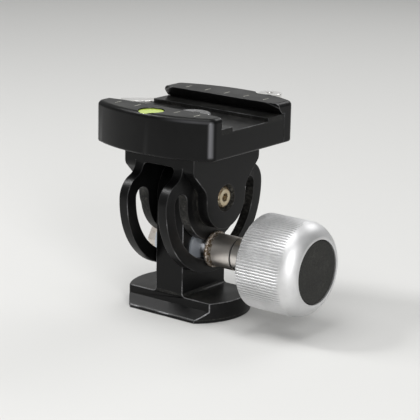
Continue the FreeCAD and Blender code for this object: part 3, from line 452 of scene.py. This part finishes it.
giltSteel = bareMetal("giltSteel", {
    "dark": (0.44, 0.36, 0.24), "light": (0.66, 0.58, 0.42), "roughLow": 0.24, "roughHigh": 0.4,
    "patchScale": 300, "grainScale": 2600, "grainDepth": 0.000012,
    "stains": [
        {"round": ("x", pivotAxis, 3.4, 5.5), "share": 0.9, "scale": 700, "from": 0.42, "to": 0.62,
         "colour": (0.13, 0.07, 0.03)},
        {"round": ("x", pivotAxis, 0, 1.9), "share": 0.8, "scale": 700, "from": 0.35, "to": 0.6,
         "colour": (0.10, 0.06, 0.03)},
    ],
})
screwSteel = bareMetal("screwSteel", {
    "dark": (0.42, 0.42, 0.43), "light": (0.58, 0.58, 0.59), "roughLow": 0.26, "roughHigh": 0.38,
    "rings": ("z", (0, 0, 0), 9000), "lineDepth": 0.00001, "metallic": 0.9,
    "stains": [{"z": (81.0, 82.2), "share": 0.7, "scale": 800, "from": 0.5, "to": 0.72,
                "colour": (0.30, 0.27, 0.20)}],
})
sinteredBronze = bareMetal("sinteredBronze", {
    "dark": (0.30, 0.19, 0.09), "light": (0.45, 0.31, 0.16), "roughLow": 0.35, "roughHigh": 0.5,
    "grainScale": 2200, "grainDepth": 0.00003,
})
print("metals made")


# plastics, paint, print and the level's fluid, window and bubble
plasticSettings = {"grainsPerPatch": 12, "colourRange": (0.3, 0.7), "grainStrength": 0.2,
                   "grainDepth": 0.00001}


def plainPlastic(name, dark, light, rough, grainScale, alpha=1.0):
    material, tree, shader, place = newMaterial(name)
    patches = noise(tree, place, grainScale / plasticSettings["grainsPerPatch"])
    patchShare = ramp(tree, patches, *plasticSettings["colourRange"])
    join(tree, blendColour(tree, patchShare, dark, light), shader.inputs["Base Color"])
    shader.inputs["Roughness"].default_value = rough
    shader.inputs["Alpha"].default_value = alpha
    grain = noise(tree, place, grainScale, detail=2)
    bumps(tree, shader, [(grain, plasticSettings["grainStrength"], plasticSettings["grainDepth"])])
    return material


washerPolymer = plainPlastic("washerPolymer", (0.012, 0.012, 0.012), (0.03, 0.03, 0.03), 0.6, 3000)
levelWhite = plainPlastic("levelWhite", (0.62, 0.66, 0.30), (0.74, 0.78, 0.42), 0.5, 2500)
levelGreen = plainPlastic("levelGreen", (0.42, 0.60, 0.02), (0.62, 0.80, 0.06), 0.12, 900)
levelGlass = plainPlastic("levelGlass", (0.56, 0.72, 0.10), (0.68, 0.84, 0.16), 0.08, 300, 0.72)
bubbleAir = plainPlastic("bubbleAir", (0.80, 0.92, 0.35), (0.88, 0.97, 0.5), 0.05, 300)
printBlack = plainPlastic("printBlack", (0.008, 0.01, 0.004), (0.02, 0.022, 0.01), 0.4, 3000)
markWhite = plainPlastic("markWhite", (0.34, 0.33, 0.28), (0.56, 0.55, 0.48), 0.7, 6000)
print("plastics made")


# CAD nodes that stay as they are, each with its finish
nodeFinishes = {
    "lock_shaft": turnedSteel, "lock_washer": flatSteel, "friction_washer_left": flatSteel,
    "friction_washer_right": flatSteel, "shaft_stop_screw": turnedSteel, "pivot_axle": turnedSteel,
    "clamp_dowel_pins": turnedSteel, "cam_pull_rod": turnedSteel, "lever_pin": turnedSteel,
    "jaw_guide_rods": turnedSteel, "jaw_return_springs": springSteel, "knob_insert": neckSteel,
    "pivot_bushing_left": sinteredBronze, "pivot_bushing_right": sinteredBronze,
    "thrust_washer": washerPolymer, "level_cup": levelWhite, "level_fluid": levelGreen,
    "level_window": levelGlass, "pivot_screw_left": giltSteel,
}
for node, finish in nodeFinishes.items():
    piece = frame["nodes"][node]
    piece.data.materials.clear()
    piece.data.materials.append(finish)


# machined pieces: a merged copy of the CAD node, with broken edges as a mill and a tumbler leave them
def machined(node, name, body, slot, width, *materials):
    pickOnly(frame["nodes"][node])
    bpy.ops.object.duplicate()
    piece = bpy.context.object
    piece.name = name
    piece.data.name = name
    del piece["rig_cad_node"]
    piece.parent = None
    bpy.ops.mesh.customdata_custom_splitnormals_clear()
    openMesh(piece)
    bpy.ops.mesh.remove_doubles(threshold=edgeSettings["mergeWithin"] * mm)
    closeMesh()
    piece.data.materials.clear()
    for material in materials:
        piece.data.materials.append(material)
    if width:
        softenEdges(piece, width * mm, len(materials) - 1)
    evenShading(piece)
    finishPiece(piece, body, slot)
    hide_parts(node)
    return piece


# node, piece, body, slot, width of the broken edges in mm, materials: the last of them is on the edges
machinedPieces = (
    ("base_stem", "baseStem", "base", "black_anodised", 0.3, baseBlack, baseEdgeWearAndHighlight),
    ("yoke_frame", "yokeFrame", "yoke", "black_anodised", 0.26, yokeBlack, yokeEdgeWearAndHighlight),
    ("clamp_body", "clampBody", "yoke", "black_anodised", 0.22, clampBlack, clampEdgeWearAndHighlight),
    ("movable_jaw", "movableJaw", "jaw", "black_anodised", 0.22, jawBlack, clampEdgeWearAndHighlight),
    ("clamp_lever", "clampLever", "lever", "silver_anodised", 0.25, leverSilver),
    ("knob_shell", "knobShell", "knob", "silver_anodised", 0, blastedSilver),
    ("knob_cap", "knobCap", "knob", "black_anodised", 0.1, capBlack),
    ("lock_nut", "lockNut", "base", "stainless_steel", 0.3, nutSteel),
    ("lock_sleeve", "lockSleeve", "sleeve", "stainless_steel", 0, sleeveSteel),
    ("clamp_mount_screw", "clampMountScrew", "yoke", "stainless_steel", 0.1, screwSteel),
    ("pivot_screw_right", "pivotScrewRight", "yoke", "gilt_steel", 0.08, giltSteel),
)
for settings in machinedPieces:
    piece = machined(*settings)
    print(piece.name, len(piece.data.polygons), "faces")


# scale marks on both jaws: shallow strokes filled with white, a hair above the metal
markSettings = {
    "width": 0.36, "length": 4.0, "stand": 0.02, "depth": 0.25, "top": 87.0, "edge": 0.05,
    "far": {"y": 22.3, "places": (-20, -10, 0, 10, 20)},
    "near": {"y": -23.6, "places": (-20, -10, 10, 20)},
}


def scaleMarks(name, body, row):
    strokes = []
    height = markSettings["depth"] + markSettings["stand"]
    middle = markSettings["top"] + markSettings["stand"] - height / 2
    for across in row["places"]:
        dropSelection()
        bpy.ops.mesh.primitive_cube_add(size=1, location=(across * mm, row["y"] * mm, middle * mm))
        stroke = bpy.context.object
        stroke.dimensions = (markSettings["width"] * mm, markSettings["length"] * mm, height * mm)
        settle(stroke)
        strokes.append(stroke)
    dropSelection()
    for stroke in strokes:
        stroke.select_set(True)
    bpy.context.view_layer.objects.active = strokes[0]
    bpy.ops.object.join()
    marks = bpy.context.object
    marks.name = name
    softenEdges(marks, markSettings["edge"] * mm)
    evenShading(marks)
    finishPiece(marks, body, "level_white", markWhite)


scaleMarks("nearJawMarks", "yoke", markSettings["near"])
scaleMarks("farJawMarks", "jaw", markSettings["far"])


# bubble level: two printed rings under the window and the air bubble in the fluid
levelSettings = {
    "x": 0, "y": -27.2, "windowUnder": 85.7, "ringRadius": 2.5, "ringLine": 0.16, "rimRadius": 4.8,
    "rimLine": 0.26, "lineFlatness": 0.3, "ringSmooth": 60,
    "bubbleRadius": 1.9, "bubbleAside": 0.5, "bubbleBack": 0.3, "bubbleFlatness": 0.12, "bubbleSmooth": 80,
}


def levelRing(name, radius, line):
    dropSelection()
    place = [levelSettings["x"] * mm, levelSettings["y"] * mm, levelSettings["windowUnder"] * mm]
    bpy.ops.mesh.primitive_torus_add(location=place, major_segments=72, minor_segments=10,
                                     major_radius=radius * mm, minor_radius=line * mm)
    ring = bpy.context.object
    ring.name = name
    openMesh(ring)
    bpy.ops.transform.resize(value=(1, 1, levelSettings["lineFlatness"]), center_override=place)
    closeMesh()
    settle(ring)
    evenShading(ring, levelSettings["ringSmooth"])
    finishPiece(ring, "yoke", "level_white", printBlack)


levelRing("levelRing", levelSettings["ringRadius"], levelSettings["ringLine"])
levelRing("levelRim", levelSettings["rimRadius"], levelSettings["rimLine"])

bubbleX = levelSettings["x"] + levelSettings["bubbleAside"]
bubbleY = levelSettings["y"] + levelSettings["bubbleBack"]
dropSelection()
bpy.ops.mesh.primitive_uv_sphere_add(segments=40, ring_count=20, radius=levelSettings["bubbleRadius"] * mm,
                                     location=(bubbleX * mm, bubbleY * mm, levelSettings["windowUnder"] * mm))
bubble = bpy.context.object
bubble.name = "levelBubble"
openMesh(bubble)
bpy.ops.transform.resize(value=(1, 1, levelSettings["bubbleFlatness"]), center_override=bubble.location)
closeMesh()
settle(bubble)
evenShading(bubble, levelSettings["bubbleSmooth"])
finishPiece(bubble, "yoke", "level_clear", bubbleAir)
print("marks and level made")


# floor, lamps and camera
def outward(azimuth, elevation):  # azimuth in degrees from the front towards the right
    turn, rise = math.radians(azimuth), math.radians(elevation)
    return Vector((math.sin(turn) * math.cos(rise), -math.cos(turn) * math.cos(rise), math.sin(rise)))


floorSettings = {"size": 9.0, "colour": (0.66, 0.657, 0.645), "rough": 0.8}
dropSelection()
bpy.ops.mesh.primitive_plane_add(size=floorSettings["size"], location=(0, 0, 0))
floor = bpy.context.object
floor.name = "floor"
floorPaper, tree, shader, place = newMaterial("floorPaper")
join(tree, floorSettings["colour"], shader.inputs["Base Color"])
shader.inputs["Roughness"].default_value = floorSettings["rough"]
floor.data.materials.append(floorPaper)

lampSettings = (  # name, azimuth, elevation, distance and size in metres, watts
    ("overheadLamp", -10, 76, 1.0, (0.7, 0.7), 5.0),
    ("leftLamp", -64, 50, 0.9, (0.2, 0.2), 3.6),
    ("rightStrip", 53, 20, 0.9, (0.18, 0.6), 4.0),
    ("backLamp", 175, 40, 1.0, (0.5, 0.3), 2.0),
    ("backStrip", 217, 18, 1.0, (0.9, 0.25), 0.35),
)
lampAim = Vector((0.005, 0, 0.045))  # the middle of the object
for name, azimuth, elevation, distance, size, watts in lampSettings:
    away = outward(azimuth, elevation)
    bpy.ops.object.light_add(type="AREA", location=lampAim + away * distance)
    lamp = bpy.context.object
    lamp.name = name
    lamp.rotation_euler = away.to_track_quat("Z", "Y").to_euler()
    lamp.data.shape = "RECTANGLE"
    lamp.data.size, lamp.data.size_y = size
    lamp.data.energy = watts

studioSettings = {"colour": (0.85, 0.86, 0.85), "strength": 0.32}
world = bpy.data.worlds.new("studio")
scene.world = world
world.use_nodes = True
background = world.node_tree.nodes["Background"]
join(world.node_tree, studioSettings["colour"], background.inputs["Color"])
background.inputs["Strength"].default_value = studioSettings["strength"]

cameraSettings = {  # angles in degrees, the rest in mm
    "azimuth": 37.09, "elevation": 14.80, "roll": 1.25, "distance": 717.43, "aimHeight": 45,
    "right": 7.53, "up": -3.75, "lens": 149.52, "sensor": 36, "nearest": 10,
}
turn = math.radians(cameraSettings["azimuth"])
roll = math.radians(cameraSettings["roll"])
back = outward(cameraSettings["azimuth"], cameraSettings["elevation"])
right = Vector((math.cos(turn), math.sin(turn), 0))
up = back.cross(right)
spot = (Vector((0, 0, cameraSettings["aimHeight"])) + back * cameraSettings["distance"]
        + right * cameraSettings["right"] + up * cameraSettings["up"]) * mm
rolledRight = right * math.cos(roll) + up * math.sin(roll)
rolledUp = up * math.cos(roll) - right * math.sin(roll)
bpy.ops.object.camera_add()
camera = bpy.context.object
camera.data.lens = cameraSettings["lens"]
camera.data.sensor_width = cameraSettings["sensor"]
camera.data.clip_start = cameraSettings["nearest"] * mm
pose = Matrix((rolledRight, rolledUp, back)).transposed().to_4x4()
pose.translation = spot
camera.matrix_world = pose
scene.camera = camera
scene.view_settings.view_transform = "Standard"
print("stage ready")
